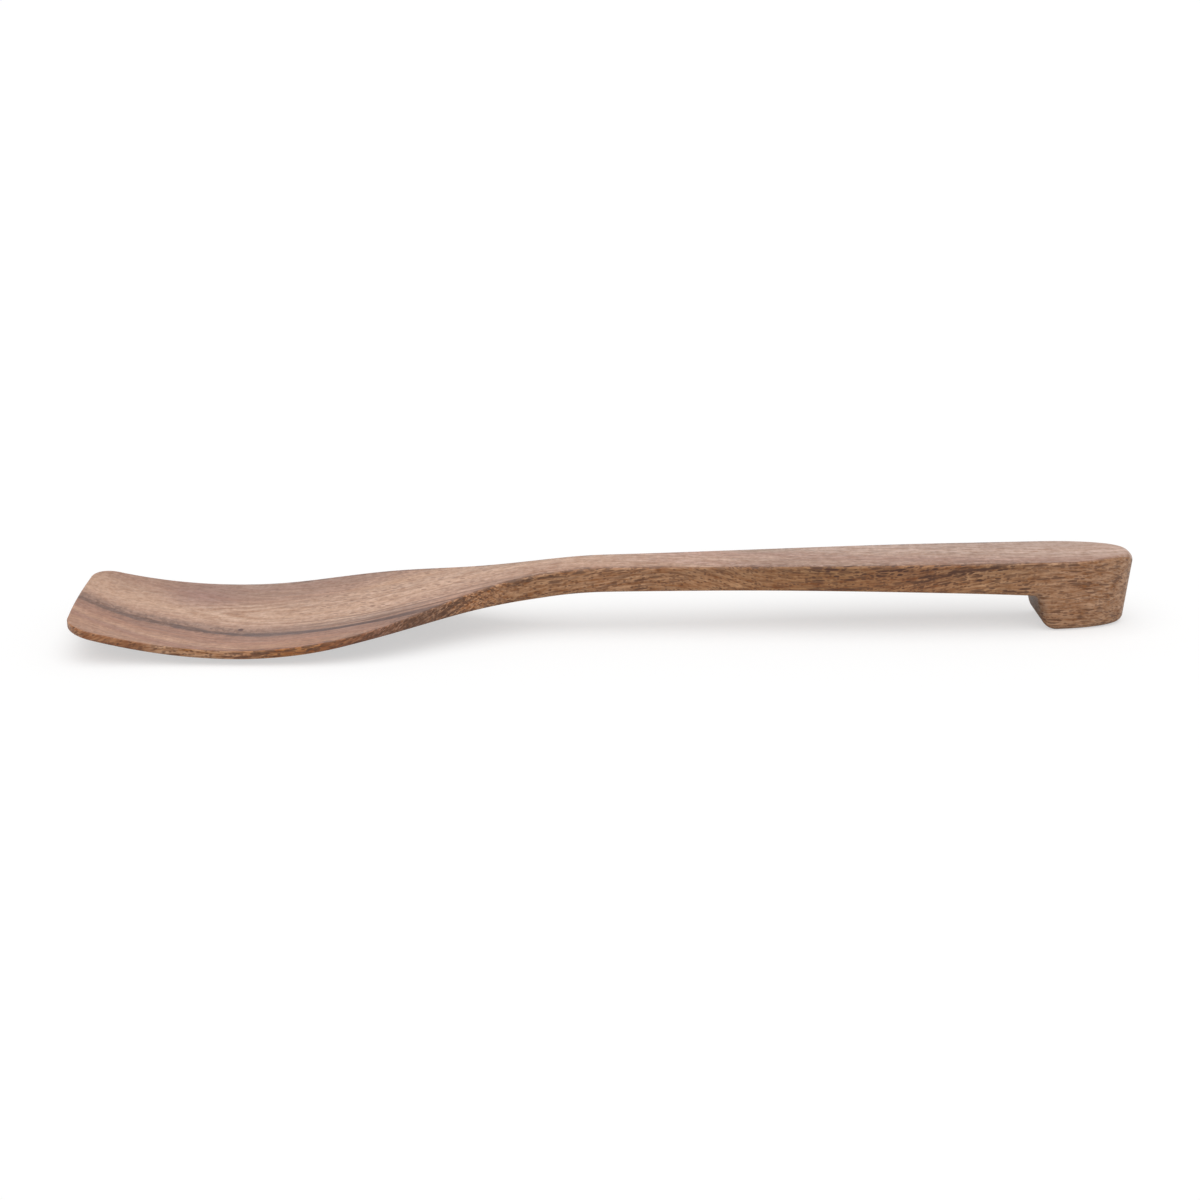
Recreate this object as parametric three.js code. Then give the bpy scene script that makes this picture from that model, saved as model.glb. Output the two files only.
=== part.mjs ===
// A wooden spatula carved from one piece of wood. Millimetres, +Z up.
// The tip of the blade points to -X and the rounded end of the grip to +X. The spatula stands on z = 0,
// on the flat underside of the foot below the grip and on the lowest line of the blade's belly.

import * as THREE from "three";

// Lengths along the spatula, end to end
const BLADE_LENGTH = 69.5; // tip edge to the widest place of the blade
const SHOULDER_LENGTH = 84; // widest place of the blade to the slimmest place of the neck
const SHAFT_LENGTH = 119; // slimmest place of the neck to the full width of the grip
const GRIP_LENGTH = 57.5; // full width of the grip to its end
const END_ROUNDING = 27.6; // length of the rounded end, half of an ellipse in plan

// Widths, and the shape of the tip in plan
const TIP_WIDTH = 58.5;
const BLADE_WIDTH = 65.8;
const NECK_WIDTH = 14.8;
const GRIP_WIDTH = 23.7;
const TIP_FLARE = 0.029; // slope of the blade's side where it leaves the tip
const TIP_CORNER = 7.8; // length of the two rounded corners of the tip
const TIP_CORNER_ACROSS = 10; // their extent across the blade
const TIP_BOW = 0.7; // how far the middle of the tip edge stands out past its corners
const SHOULDER_STEEPNESS = 1.9; // 1 is a straight shoulder, higher is a fuller S

// Heights of the upper edge above the table
const TIP_HEIGHT = 12.8;
const BLADE_HEIGHT = 4.8; // where the blade is lowest
const NECK_HEIGHT = 21.4; // where the climb from the blade ends
const GRIP_HEIGHT = 23.2; // at the end of the grip
const LOW_BEFORE_WIDEST = 17; // lowest place of the blade to its widest place
const CLIMB_PAST_NECK = 11; // slimmest place of the neck to the end of the climb

// Thickness of the wood at the side
const BLADE_THICKNESS = 2.8;
const NECK_THICKNESS = 8.1;
const GRIP_THICKNESS = 11.4; // just before the foot
const THIN_PAST_WIDEST = 15.5; // how far the thin blade runs past its widest place
const THICKENING_LENGTH = 62; // from the thin blade to the full neck
const SWELL_PAST_NECK = 42; // slimmest place of the neck to where the grip starts to swell

// Faces across the width
const BLADE_SCOOP = 1.1; // how far the middle of the blade lies below its two upper edges
const SHAFT_CROWN = 0.4; // how far the middle of the shaft stands above its two upper edges
const SHAFT_BELLY = 0.5; // how far the middle of the shaft's underside hangs below its sides
const FADE_SHARE = 0.8; // part of the shoulder in which the blade's section turns into the shaft's

// The foot that hangs down under the end of the grip
const FOOT_LENGTH = 31.6; // corner under the grip to the end of the grip
const FOOT_LEAN = 14; // degrees that the inner face leans away from upright
const FOOT_FILLET = 2; // radius between the grip's underside and the inner face
const SIDE_DRAFT = 3.6; // degrees that the sides of shaft and foot draw in downwards
const END_DRAFT = 5.2; // degrees that the end wall draws in downwards

// Roundings along the edges
const BLADE_TOP_EDGE = 0.5;
const BLADE_UNDER_EDGE = 1.1;
const SHAFT_TOP_EDGE = 0.9;
const SHAFT_UNDER_EDGE = 2;
const END_TOP_EDGE = 3.6; // upper edge at the very end of the grip
const FOOT_UNDER_EDGE = 2.5;
const TOE_RADIUS = 5.5; // where the inner face of the foot turns into its underside

// How finely the surface is divided, along the outline and round the section
const TIP_STEPS = 4;
const CORNER_STEPS = 6;
const SIDE_STEPS = 58;
const FILLET_STEPS = 4;
const FACE_STEPS = 3;
const TOE_STEPS = 6;
const END_STEPS = 16;
const SHEET_STEPS = 5;
const EDGE_STEPS = 5;
const WALL_STEPS = 2;
const SPINE_INSET = 5; // middle of the tip or end edge to the end of the line that the sheets share

// Places along the length, counted from the tip edge
const neckAt = BLADE_LENGTH + SHOULDER_LENGTH;
const gripAt = neckAt + SHAFT_LENGTH;
const length = gripAt + GRIP_LENGTH;
const lowAt = BLADE_LENGTH - LOW_BEFORE_WIDEST;
const climbEndAt = neckAt + CLIMB_PAST_NECK;
const thickenAt = BLADE_LENGTH + THIN_PAST_WIDEST;
const swellAt = neckAt + SWELL_PAST_NECK;
const footAt = length - FOOT_LENGTH;
const endAt = length - END_ROUNDING;

const { clamp, degToRad, lerp, smoothstep } = THREE.MathUtils;

// Goes from 0 to 1 like smoothstep, but crosses the middle more steeply as the power grows.
function steepStep(x, from, to, power) {
  const t = clamp((x - from) / (to - from), 0, 1);
  return t ** power / (t ** power + (1 - t) ** power);
}

// Cubic through two heights with a given slope at each, over the stretch from..to.
function cubic(x, from, to, start, end, startSlope, endSlope) {
  const run = to - from;
  const t = (x - from) / run;
  const rise = t * t * (3 - 2 * t);
  const leave = t * (1 - t) ** 2;
  const arrive = t * t * (t - 1);
  return start + (end - start) * rise + run * (startSlope * leave + endSlope * arrive);
}

// Half the width in plan: flare of the blade, S of the shoulder, then the shaft widening to the grip.
function halfWidth(x) {
  const tip = TIP_WIDTH / 2;
  const blade = BLADE_WIDTH / 2;
  const neck = NECK_WIDTH / 2;
  if (x < BLADE_LENGTH) return cubic(Math.max(x, 0), 0, BLADE_LENGTH, tip, blade, TIP_FLARE, 0);
  if (x < neckAt) return lerp(blade, neck, steepStep(x, BLADE_LENGTH, neckAt, SHOULDER_STEEPNESS));
  return lerp(neck, GRIP_WIDTH / 2, smoothstep(x, neckAt, gripAt));
}

// The same with the rounded end.
function outlineHalfWidth(x) {
  if (x <= endAt) return halfWidth(x);
  const along = Math.min((x - endAt) / END_ROUNDING, 1);
  return halfWidth(endAt) * Math.sqrt(1 - along * along);
}

// Height of the upper edge: the tip curls up as a parabola, the shoulder climbs, the shaft rises straight.
function upperEdge(x) {
  const shaftSlope = (GRIP_HEIGHT - NECK_HEIGHT) / (length - climbEndAt);
  if (x < lowAt) return BLADE_HEIGHT + (TIP_HEIGHT - BLADE_HEIGHT) * (1 - x / lowAt) ** 2;
  if (x < climbEndAt) return cubic(x, lowAt, climbEndAt, BLADE_HEIGHT, NECK_HEIGHT, 0, shaftSlope);
  return NECK_HEIGHT + shaftSlope * (x - climbEndAt);
}

// Thickness at the side: thin blade, full neck, and a swell towards the foot.
function thickness(x) {
  const filled = smoothstep(x, thickenAt, thickenAt + THICKENING_LENGTH);
  const swell = clamp((x - swellAt) / (footAt - swellAt), 0, 1);
  return lerp(BLADE_THICKNESS, NECK_THICKNESS, filled) + (GRIP_THICKNESS - NECK_THICKNESS) * swell ** 2;
}

// 0 on the blade, 1 on the shaft.
function shaftShare(x) {
  return smoothstep(x, BLADE_LENGTH, BLADE_LENGTH + FADE_SHARE * SHOULDER_LENGTH);
}

// 1 on the middle line, 0 at the sides.
function middleShare(x, y) {
  return 1 - Math.min(Math.abs(y) / halfWidth(x), 1) ** 2;
}

// The upper face: scooped on the blade, slightly crowned on the shaft.
function upperFace(x, y) {
  const drop = lerp(BLADE_SCOOP, -SHAFT_CROWN, shaftShare(x));
  return upperEdge(x) - drop * middleShare(x, y);
}

// How far the underside hangs below its own edge. The blade's belly reaches down to the table.
function bellyDrop(x, y) {
  const bladeBelly = BLADE_HEIGHT - BLADE_THICKNESS;
  const flat = smoothstep(x, swellAt, footAt - FOOT_FILLET * 2);
  return lerp(bladeBelly, SHAFT_BELLY * (1 - flat), shaftShare(x)) * middleShare(x, y);
}

function underEdge(x) {
  return upperEdge(x) - thickness(x);
}

// The underside's line turning down into the foot, from the grip to the table: a fillet, the leaning
// inner face and the rounded toe. Each point has the normal that points into the wood.
function footLine() {
  const turn = Math.PI / 2 - degToRad(FOOT_LEAN);
  const start = footAt - FOOT_FILLET * Math.tan(turn / 2);
  const underGrip = underEdge(start);
  const points = [];
  const add = (x, z, angle) => points.push({ x, z, nx: Math.sin(angle), nz: Math.cos(angle) });
  for (let i = 0; i <= FILLET_STEPS; i++) {
    const angle = (turn * i) / FILLET_STEPS;
    add(start + FOOT_FILLET * Math.sin(angle), underGrip - FOOT_FILLET * (1 - Math.cos(angle)), angle);
  }
  const top = points.at(-1);
  const toeTop = TOE_RADIUS * (1 - Math.cos(turn));
  const toeX = top.x + (top.z - toeTop) / Math.tan(turn);
  for (let i = 1; i <= FACE_STEPS; i++) {
    add(lerp(top.x, toeX, i / FACE_STEPS), lerp(top.z, toeTop, i / FACE_STEPS), turn);
  }
  for (let i = 1; i <= TOE_STEPS; i++) {
    const angle = turn * (1 - i / TOE_STEPS);
    const run = TOE_RADIUS * (Math.sin(turn) - Math.sin(angle));
    add(toeX + run, TOE_RADIUS * (1 - Math.cos(angle)), angle);
  }
  return points;
}

// Half the outline in plan, from the middle of the tip round to the middle of the end. Each place has
// its point in plan, the part of the spatula it belongs to, and the underside's line below it.
function outlinePlaces() {
  const places = [];
  const foot = footLine();
  const underLine = (x) => ({ x, z: underEdge(x), nx: 0, nz: 1 });
  const add = (part, x, y, under) => places.push({ part, x, y, under });
  const cornerY = halfWidth(TIP_CORNER) - TIP_CORNER_ACROSS;
  for (let i = 0; i < TIP_STEPS; i++) {
    const y = (cornerY * i) / TIP_STEPS;
    const x = TIP_BOW * (y / cornerY) ** 2;
    add("tip", x, y, underLine(x));
  }
  for (let i = 0; i < CORNER_STEPS; i++) {
    const angle = (Math.PI / 2) * (i / CORNER_STEPS);
    const x = TIP_BOW + TIP_CORNER * (1 - Math.cos(angle));
    add("tip", x, cornerY + TIP_CORNER_ACROSS * Math.sin(angle), underLine(x));
  }
  for (let i = 0; i < SIDE_STEPS; i++) {
    const x = lerp(TIP_BOW + TIP_CORNER, foot[0].x, i / SIDE_STEPS);
    add("side", x, outlineHalfWidth(x), underLine(x));
  }
  for (const point of foot) add("foot", point.x, outlineHalfWidth(point.x), point);
  const footAngle = Math.asin(clamp((foot.at(-1).x - endAt) / END_ROUNDING, 0, 1));
  for (let i = 1; i <= END_STEPS; i++) {
    const angle = lerp(footAngle, Math.PI / 2, i / END_STEPS);
    const x = endAt + END_ROUNDING * Math.sin(angle);
    add("end", x, halfWidth(endAt) * Math.cos(angle), { x, z: 0, nx: 0, nz: 1 });
  }
  places.at(-1).y = 0;
  addInwardNormals(places);
  return places;
}

// Inward normals in plan, from each place's two neighbours. The middle places look along X.
function addInwardNormals(places) {
  places.forEach((place, i) => {
    const before = places[i - 1] ?? { x: place.x, y: -places[1].y };
    const after = places[i + 1] ?? { x: place.x, y: -places.at(-2).y };
    const run = after.x - before.x;
    const rise = after.y - before.y;
    const size = Math.hypot(run, rise);
    place.inX = rise / size;
    place.inY = -run / size;
  });
}

// Lines from the middle of the upper face out over the edge, down the side, round the lower edge and
// back to the middle of the underside: one list of points for each place of the outline.
function halfSection(place, spine) {
  const { part, x, y, under, inX, inY } = place;
  const share = shaftShare(x);
  const facing = x > endAt ? inX ** 2 : 0;
  const topRadius = lerp(lerp(BLADE_TOP_EDGE, SHAFT_TOP_EDGE, share), END_TOP_EDGE, facing);
  const sideRadius = lerp(BLADE_UNDER_EDGE, SHAFT_UNDER_EDGE, share);
  const underRadius = lerp(sideRadius, FOOT_UNDER_EDGE, smoothstep(under.x, spine.footStart, spine.footEnd));
  const draft = Math.tan(degToRad(lerp(SIDE_DRAFT * share, END_DRAFT, facing)));
  const points = [];

  const faceX = x + inX * topRadius;
  const faceY = y + inY * topRadius;
  for (let i = 0; i < SHEET_STEPS; i++) {
    const px = lerp(spine.upper, faceX, i / SHEET_STEPS);
    const py = (faceY * i) / SHEET_STEPS;
    points.push(new THREE.Vector3(px, py, upperFace(px, py)));
  }
  for (let i = 0; i <= EDGE_STEPS; i++) {
    const angle = (Math.PI / 2) * (1 - i / EDGE_STEPS);
    const inset = topRadius * (1 - Math.cos(angle));
    const depth = topRadius * (1 - Math.sin(angle));
    const px = x + inX * inset;
    const py = y + inY * inset;
    points.push(new THREE.Vector3(px, py, upperFace(px, py) - depth));
  }

  // A point of the lower edge: 0 is on the side wall, a quarter turn is on the underside.
  const lowerEdge = (angle) => {
    const inset = underRadius * (1 - Math.cos(angle));
    const depth = underRadius * (1 - Math.sin(angle));
    const px = under.x + under.nx * depth;
    const pz = under.z + under.nz * depth;
    const wallY = part === "foot" ? outlineHalfWidth(px) : y;
    const inward = inset + draft * (upperEdge(x) - pz);
    const py = wallY + inY * inward;
    return new THREE.Vector3(px + inX * inward, py, pz - bellyDrop(px, py));
  };
  const wallTop = points.at(-1);
  const wallFoot = lowerEdge(0);
  for (let i = 1; i < WALL_STEPS; i++) points.push(wallTop.clone().lerp(wallFoot, i / WALL_STEPS));
  for (let i = 0; i <= EDGE_STEPS; i++) points.push(lowerEdge((Math.PI / 2) * (i / EDGE_STEPS)));

  const sheetEdge = points.at(-1).clone();
  const underX = part === "side" || part === "foot" ? sheetEdge.x : spine.under;
  const level = part === "foot" || part === "end" ? () => under.z : underEdge;
  for (let i = 1; i <= SHEET_STEPS; i++) {
    const px = lerp(sheetEdge.x, underX, i / SHEET_STEPS);
    const py = sheetEdge.y * (1 - i / SHEET_STEPS);
    points.push(new THREE.Vector3(px, py, level(px) - bellyDrop(px, py)));
  }
  return points;
}

// Where each line starts and ends on the middle plane. Along the sides that is straight across from the
// outline. At the tip and at the end the lines fan out from a short stretch of the middle.
function spinePlaces(places) {
  const sideStart = places.findIndex((place) => place.part === "side");
  const footPlaces = places.filter((place) => place.part === "foot");
  const footStart = footPlaces[0].under.x;
  const footEnd = footPlaces.at(-1).under.x;
  const footIndex = places.indexOf(footPlaces.at(-1));
  const last = places.length - 1;
  const endDrawIn = Math.tan(degToRad(END_DRAFT)) * GRIP_HEIGHT + FOOT_UNDER_EDGE;
  return places.map((place, i) => {
    let upper = place.x;
    let under = place.x;
    if (i < sideStart) {
      upper = lerp(SPINE_INSET, places[sideStart].x, i / sideStart);
      under = upper;
    }
    if (i > footIndex) {
      const share = (i - footIndex) / (last - footIndex);
      upper = lerp(places[footIndex].x, length - SPINE_INSET, share);
      under = lerp(footEnd, length - endDrawIn - SPINE_INSET, share);
    }
    return { upper, under, footStart, footEnd };
  });
}

// Joins the half sections into a surface, mirrors it, and shares the points on the middle plane.
function carvedGeometry() {
  const places = outlinePlaces();
  const spines = spinePlaces(places);
  const rows = places.map((place, i) => halfSection(place, spines[i]));
  const rowCount = rows.length;
  const pointCount = rows[0].length;
  const positions = [];
  const add = (x, y, z) => positions.push(x - length / 2, y, z) / 3 - 1;
  const half = rows.map((row, k) =>
    row.map((point, j) => {
      const onMiddle = k === 0 || k === rowCount - 1 || j === 0 || j === pointCount - 1;
      const near = add(point.x, onMiddle ? 0 : point.y, point.z);
      return [near, onMiddle ? near : add(point.x, -point.y, point.z)];
    }),
  );
  const indices = [];
  for (let k = 0; k + 1 < rowCount; k++) {
    for (let j = 0; j + 1 < pointCount; j++) {
      const corners = [half[k][j], half[k][j + 1], half[k + 1][j + 1], half[k + 1][j]];
      // The diagonal leans towards the middle of the spatula, above and below, so that no triangle
      // lies flat along the middle plane where the lines fan out.
      const leansForward = k < rowCount / 2 === j < pointCount / 2;
      const [a, b, c, d] = leansForward ? corners : [...corners.slice(1), corners[0]];
      indices.push(c[0], b[0], a[0], d[0], c[0], a[0]);
      indices.push(a[1], b[1], c[1], a[1], c[1], d[1]);
    }
  }
  const geometry = new THREE.BufferGeometry();
  geometry.setAttribute("position", new THREE.Float32BufferAttribute(positions, 3));
  geometry.setIndex(indices);
  geometry.computeVertexNormals();
  return geometry;
}

const wood = new THREE.MeshStandardMaterial({ color: 0xa48471, roughness: 0.62, metalness: 0 });

const spatula = new THREE.Mesh(carvedGeometry(), wood);
spatula.name = "spatula";

const group = new THREE.Group();
group.add(spatula);

export default group;
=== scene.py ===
from types import SimpleNamespace

import bpy
import numpy as np
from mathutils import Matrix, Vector


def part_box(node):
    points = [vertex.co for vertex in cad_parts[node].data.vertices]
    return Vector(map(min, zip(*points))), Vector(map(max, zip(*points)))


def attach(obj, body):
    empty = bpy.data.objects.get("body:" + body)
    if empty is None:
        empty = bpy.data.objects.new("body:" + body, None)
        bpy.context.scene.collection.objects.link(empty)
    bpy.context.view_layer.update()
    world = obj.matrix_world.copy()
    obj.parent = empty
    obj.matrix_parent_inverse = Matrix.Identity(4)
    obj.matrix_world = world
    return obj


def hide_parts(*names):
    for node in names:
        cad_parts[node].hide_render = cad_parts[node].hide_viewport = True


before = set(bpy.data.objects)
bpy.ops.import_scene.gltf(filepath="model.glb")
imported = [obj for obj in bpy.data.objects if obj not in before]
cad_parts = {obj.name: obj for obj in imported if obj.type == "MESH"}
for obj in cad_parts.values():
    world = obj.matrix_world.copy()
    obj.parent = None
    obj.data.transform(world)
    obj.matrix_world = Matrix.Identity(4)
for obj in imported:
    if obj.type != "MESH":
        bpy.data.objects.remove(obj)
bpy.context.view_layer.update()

# A wooden spatula carved from one piece of wood, standing on the foot under its grip and on the belly of
# its blade. Metres, tip of the blade towards -X, +Z up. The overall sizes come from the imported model.
low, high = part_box("spatula")
LENGTH = high.x - low.x
BLADE_WIDTH = high.y - low.y

# Lengths along the spatula, from the tip edge on
BLADE_LENGTH = 0.0695  # tip edge to the widest place of the blade
SHOULDER_LENGTH = 0.084  # widest place of the blade to the slimmest place of the neck
SHAFT_LENGTH = 0.119  # slimmest place of the neck to the full width of the grip
END_ROUNDING = 0.0276  # length of the rounded end, half of an ellipse in plan

# Widths, and the shape of the tip in plan
TIP_WIDTH = 0.0585
NECK_WIDTH = 0.0148
GRIP_WIDTH = 0.0237
TIP_FLARE = 0.029  # slope of the blade's side where it leaves the tip
TIP_CORNER = 0.0078  # length of the two rounded corners of the tip
TIP_CORNER_ACROSS = 0.01  # their extent across the blade
TIP_BOW = 0.0007  # how far the middle of the tip edge stands out past its corners
SHOULDER_STEEPNESS = 1.9

# Heights of the upper edge above the table
TIP_HEIGHT = 0.0128
BLADE_HEIGHT = 0.0048
NECK_HEIGHT = 0.0214
SHAFT_CROWN = 0.0004  # how far the middle of the shaft stands above its two upper edges
GRIP_HEIGHT = high.z - SHAFT_CROWN
LOW_BEFORE_WIDEST = 0.017
CLIMB_PAST_NECK = 0.011

# Thickness of the wood at the side
BLADE_THICKNESS = 0.0028
NECK_THICKNESS = 0.0081
GRIP_THICKNESS = 0.0114
THIN_PAST_WIDEST = 0.0155
THICKENING_LENGTH = 0.062
SWELL_PAST_NECK = 0.042

# Faces across the width
BLADE_SCOOP = 0.0011
SHAFT_BELLY = 0.0005
FADE_SHARE = 0.8  # part of the shoulder in which the blade's section turns into the shaft's

# The foot that hangs down under the end of the grip
FOOT_LENGTH = 0.0316
FOOT_LEAN = np.radians(14)
FOOT_FILLET = 0.002
SIDE_DRAFT = np.radians(3.6)
END_DRAFT = np.radians(5.2)

# Roundings along the edges
BLADE_TOP_EDGE = 0.0005
BLADE_UNDER_EDGE = 0.0011
SHAFT_TOP_EDGE = 0.0009
SHAFT_UNDER_EDGE = 0.002
FOOT_UNDER_EDGE = 0.0025
END_TOP_EDGE = 0.0036
TOE_RADIUS = 0.0055

# How finely the surface is divided, along the outline and round the section
TIP_STEPS = 26
CORNER_STEPS = 18
SIDE_STEPS = 400
FILLET_STEPS = 10
FACE_STEPS = 10
TOE_STEPS = 12
END_STEPS = 60
SHEET_STEPS = 24
EDGE_STEPS = 10
WALL_STEPS = 8
BELLY_STEPS = 4  # steps of the underside in which the rim's sawn wood passes into the sanded belly
SAWN_FROM = (0.1, 0.7)  # share of the upper edge's rounding where sawn wood starts: sides, end
SAWN_OVER = (0.4, 0.9)  # share over which it comes in
SPINE_INSET = 0.005

# The studio
FLOOR_SIZE = 16.0
PAPER_LIGHT = 0.8  # share of the light that the floor throws back on the spatula
SHADOW_SHARE = 0.45  # share of the shadow that the camera sees, so that it stays faint
SKY_LIGHT = 0.45  # how strongly the sky lights the spatula
LAMP_STRENGTH = 1.85
LAMP_WIDTH = np.radians(80)
LAMP_AZIMUTH = np.radians(-20)
LAMP_ELEVATION = np.radians(75)

# The camera
CAMERA_DISTANCE = 0.700
CAMERA_ELEVATION = np.radians(18.5)
CAMERA_AZIMUTH = np.radians(-2.2)  # so that the grip end is a little farther away
AIM = (-0.0025, 0, 0.00865)
LENS = 66.96  # millimetres
SENSOR_WIDTH = 36

# Places along the length, counted from the tip edge
NECK_AT = BLADE_LENGTH + SHOULDER_LENGTH
GRIP_AT = NECK_AT + SHAFT_LENGTH
LOW_AT = BLADE_LENGTH - LOW_BEFORE_WIDEST
CLIMB_END_AT = NECK_AT + CLIMB_PAST_NECK
THICKEN_AT = BLADE_LENGTH + THIN_PAST_WIDEST
SWELL_AT = NECK_AT + SWELL_PAST_NECK
FOOT_AT = LENGTH - FOOT_LENGTH
END_AT = LENGTH - END_ROUNDING
TIP, SIDE, FOOT, END = range(4)


def share_of(x, start, end):
    """0 before start, 1 after end and the straight share between them."""
    return np.clip((x - start) / (end - start), 0, 1)


def smooth_share(x, start, end):
    """The share t made smooth at both ends, as 3 t squared - 2 t cubed."""
    t = share_of(x, start, end)
    return t * t * (3 - 2 * t)


def between(a, b, share):
    return a + (b - a) * share


def cubic(x, start, end, low_value, high_value, low_slope, high_slope):
    """The cubic that has a given value and a given slope at both ends of a stretch."""
    run = end - start
    t = (x - start) / run
    rise = t * t * (3 - 2 * t)
    bend = low_slope * t * (1 - t) ** 2 + high_slope * t * t * (t - 1)
    return low_value + (high_value - low_value) * rise + run * bend


def half_width(x):
    """Half the width in plan: the blade's flare is a cubic, the shoulder is t^p / (t^p + (1 - t)^p), and
    the shaft widens by a smooth share from the neck to the grip."""
    tip, blade, neck = TIP_WIDTH / 2, BLADE_WIDTH / 2, NECK_WIDTH / 2
    flare = cubic(np.clip(x, 0, BLADE_LENGTH), 0, BLADE_LENGTH, tip, blade, TIP_FLARE, 0)
    t = share_of(x, BLADE_LENGTH, NECK_AT)
    full, spare = t**SHOULDER_STEEPNESS, (1 - t) ** SHOULDER_STEEPNESS
    shoulder = between(blade, neck, full / (full + spare))
    shaft = between(neck, GRIP_WIDTH / 2, smooth_share(x, NECK_AT, GRIP_AT))
    return np.where(x < BLADE_LENGTH, flare, np.where(x < NECK_AT, shoulder, shaft))


def outline_half_width(x):
    """The same, closed at the grip's end by half an ellipse."""
    along = share_of(x, END_AT, LENGTH)
    return np.where(x <= END_AT, half_width(x), half_width(END_AT) * np.sqrt(1 - along**2))


def upper_edge(x):
    """Height of the upper edge: a parabola up to the tip, a cubic up the shoulder, then a straight line."""
    slope = (GRIP_HEIGHT - NECK_HEIGHT) / (LENGTH - CLIMB_END_AT)
    curl = BLADE_HEIGHT + (TIP_HEIGHT - BLADE_HEIGHT) * (1 - x / LOW_AT) ** 2
    climb = cubic(x, LOW_AT, CLIMB_END_AT, BLADE_HEIGHT, NECK_HEIGHT, 0, slope)
    straight = NECK_HEIGHT + slope * (x - CLIMB_END_AT)
    return np.where(x < LOW_AT, curl, np.where(x < CLIMB_END_AT, climb, straight))


def thickness(x):
    """Thickness at the side: thin blade, full neck by a smooth share, then a square law towards the foot."""
    filled = smooth_share(x, THICKEN_AT, THICKEN_AT + THICKENING_LENGTH)
    swell = share_of(x, SWELL_AT, FOOT_AT) ** 2
    return between(BLADE_THICKNESS, NECK_THICKNESS, filled) + (GRIP_THICKNESS - NECK_THICKNESS) * swell


def shaft_share(x):
    """0 on the blade, 1 on the shaft."""
    return smooth_share(x, BLADE_LENGTH, BLADE_LENGTH + FADE_SHARE * SHOULDER_LENGTH)


def middle_share(x, y):
    """1 on the middle line, 0 at the sides, falling as the square of the distance."""
    return 1 - np.minimum(np.abs(y) / half_width(x), 1) ** 2


def upper_face(x, y):
    """The upper face: scooped on the blade, slightly crowned on the shaft."""
    return upper_edge(x) - between(BLADE_SCOOP, -SHAFT_CROWN, shaft_share(x)) * middle_share(x, y)


def under_edge(x):
    return upper_edge(x) - thickness(x)


def belly_drop(x, y):
    """How far the underside hangs below its own edge. The blade's belly reaches down to the table."""
    round_shaft = SHAFT_BELLY * (1 - smooth_share(x, SWELL_AT, FOOT_AT - FOOT_FILLET * 2))
    drop = between(BLADE_HEIGHT - BLADE_THICKNESS, round_shaft, shaft_share(x))
    return drop * middle_share(x, y)


def foot_line():
    """The underside's line turning down from the grip to the table: an arc, the straight leaning inner
    face and the toe's arc. Gives x, z and the angle of the normal that points into the wood."""
    turn = np.pi / 2 - FOOT_LEAN
    start = FOOT_AT - FOOT_FILLET * np.tan(turn / 2)
    angle = np.linspace(0, turn, FILLET_STEPS + 1)
    arc_x = start + FOOT_FILLET * np.sin(angle)
    arc_z = under_edge(start) - FOOT_FILLET * (1 - np.cos(angle))
    toe_top = TOE_RADIUS * (1 - np.cos(turn))
    toe_x = arc_x[-1] + (arc_z[-1] - toe_top) / np.tan(turn)
    share = np.linspace(0, 1, FACE_STEPS + 1)[1:]
    toe = np.linspace(turn, 0, TOE_STEPS + 1)[1:]
    x = [arc_x, between(arc_x[-1], toe_x, share), toe_x + TOE_RADIUS * (np.sin(turn) - np.sin(toe))]
    z = [arc_z, between(arc_z[-1], toe_top, share), TOE_RADIUS * (1 - np.cos(toe))]
    tilt = [angle, np.full(FACE_STEPS, turn), toe]
    return np.concatenate(x), np.concatenate(z), np.concatenate(tilt)


def half_outline():
    """Half the outline in plan, from the middle of the tip round to the middle of the end: the bowed tip
    edge, the corner's arc, the side, the foot and the end's ellipse. Each place has its point in plan, the
    underside's point below it with its inward normal, and the inward normal in plan, which comes from the
    place's two neighbours."""
    foot_x, foot_z, foot_tilt = foot_line()
    corner_y = half_width(TIP_CORNER) - TIP_CORNER_ACROSS
    tip_y = corner_y * np.arange(TIP_STEPS) / TIP_STEPS
    turn = np.pi / 2 * np.arange(CORNER_STEPS) / CORNER_STEPS
    side_start = TIP_BOW + TIP_CORNER
    side_x = between(side_start, foot_x[0], np.arange(SIDE_STEPS) / SIDE_STEPS)
    foot_angle = np.arcsin(share_of(foot_x[-1], END_AT, LENGTH))
    round_end = np.linspace(foot_angle, np.pi / 2, END_STEPS + 1)[1:]
    end_x = END_AT + END_ROUNDING * np.sin(round_end)
    end_y = half_width(END_AT) * np.cos(round_end)
    end_y[-1] = 0
    tip_x = TIP_BOW * (tip_y / corner_y) ** 2
    corner_x = side_start - TIP_CORNER * np.cos(turn)
    x = np.concatenate([tip_x, corner_x, side_x, foot_x, end_x])
    y = np.concatenate(
        [
            tip_y,
            corner_y + TIP_CORNER_ACROSS * np.sin(turn),
            outline_half_width(side_x),
            outline_half_width(foot_x),
            end_y,
        ]
    )
    counts = [TIP_STEPS + CORNER_STEPS, SIDE_STEPS, len(foot_x), END_STEPS]
    part = np.repeat([TIP, SIDE, FOOT, END], counts)
    under_z = under_edge(x)
    under_z[part == FOOT] = foot_z
    under_z[part == END] = 0
    tilt = np.zeros(len(x))
    tilt[part == FOOT] = foot_tilt
    run = np.append(x[1:], x[-2]) - np.append(x[1], x[:-1])
    rise = np.append(y[1:], -y[-2]) - np.append(-y[1], y[:-1])
    size = np.hypot(run, rise)
    inward = {"in_x": rise / size, "in_y": -run / size}
    return SimpleNamespace(part=part, x=x, y=y, under_z=under_z, tilt=tilt, **inward)


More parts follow.
